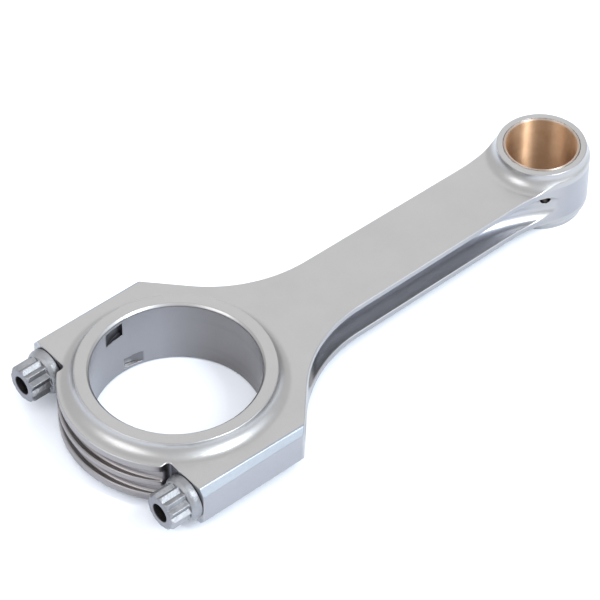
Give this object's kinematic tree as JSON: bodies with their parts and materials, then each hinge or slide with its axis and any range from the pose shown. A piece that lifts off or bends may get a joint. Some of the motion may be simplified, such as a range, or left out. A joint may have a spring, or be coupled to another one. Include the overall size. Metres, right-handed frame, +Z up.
{
  "type": "connecting rod",
  "caption": "Forged steel connecting rod with an I-shaped beam, a split big end closed by a bolted cap, and a bronze-bushed small end.",
  "frame": {"origin": "middle of the whole rod's footprint, on the plane of the lower thrust faces that it lies on", "axes": "+X from the big end towards the small end, +Y across the two cap bolts, +Z up along both bores"},
  "size_m": [0.1856, 0.0754, 0.022],
  "materials": {
    "forged_steel": "peened and fine-ground satin",
    "bush_bronze": "honed",
    "bolt_steel": "polished alloy steel",
    "sleeve_steel": "ground"
  },
  "bodies": {
    "rod": {"rod_body": "forged_steel", "small_end_bush": "bush_bronze", "dowel_sleeve_left": "sleeve_steel", "dowel_sleeve_right": "sleeve_steel"},
    "cap": {"rod_cap": "forged_steel"},
    "bolt_left": {"cap_bolt_left": "bolt_steel"},
    "bolt_right": {"cap_bolt_right": "bolt_steel"}
  },
  "joints": [
    {"name": "cap_lift_off", "type": "slide", "parent": "rod", "child": "cap", "axis": [-1, 0, 0], "range_m": [0, 0.0127]},
    {"name": "left_bolt_turn", "type": "hinge", "parent": "cap", "child": "bolt_left", "pos_m": [-0.08085, 0.0305, 0.011], "axis": [-1, 0, 0], "range_deg": [0, 4321]},
    {"name": "right_bolt_turn", "type": "hinge", "parent": "cap", "child": "bolt_right", "pos_m": [-0.08085, -0.0305, 0.011], "axis": [-1, 0, 0], "range_deg": [0, 4321]}
  ],
  "couplings": [
    {"joint": "left_bolt_turn", "follows": "cap_lift_off", "rad_per_m": 5936.9},
    {"joint": "right_bolt_turn", "follows": "cap_lift_off", "rad_per_m": 5936.9}
  ]
}
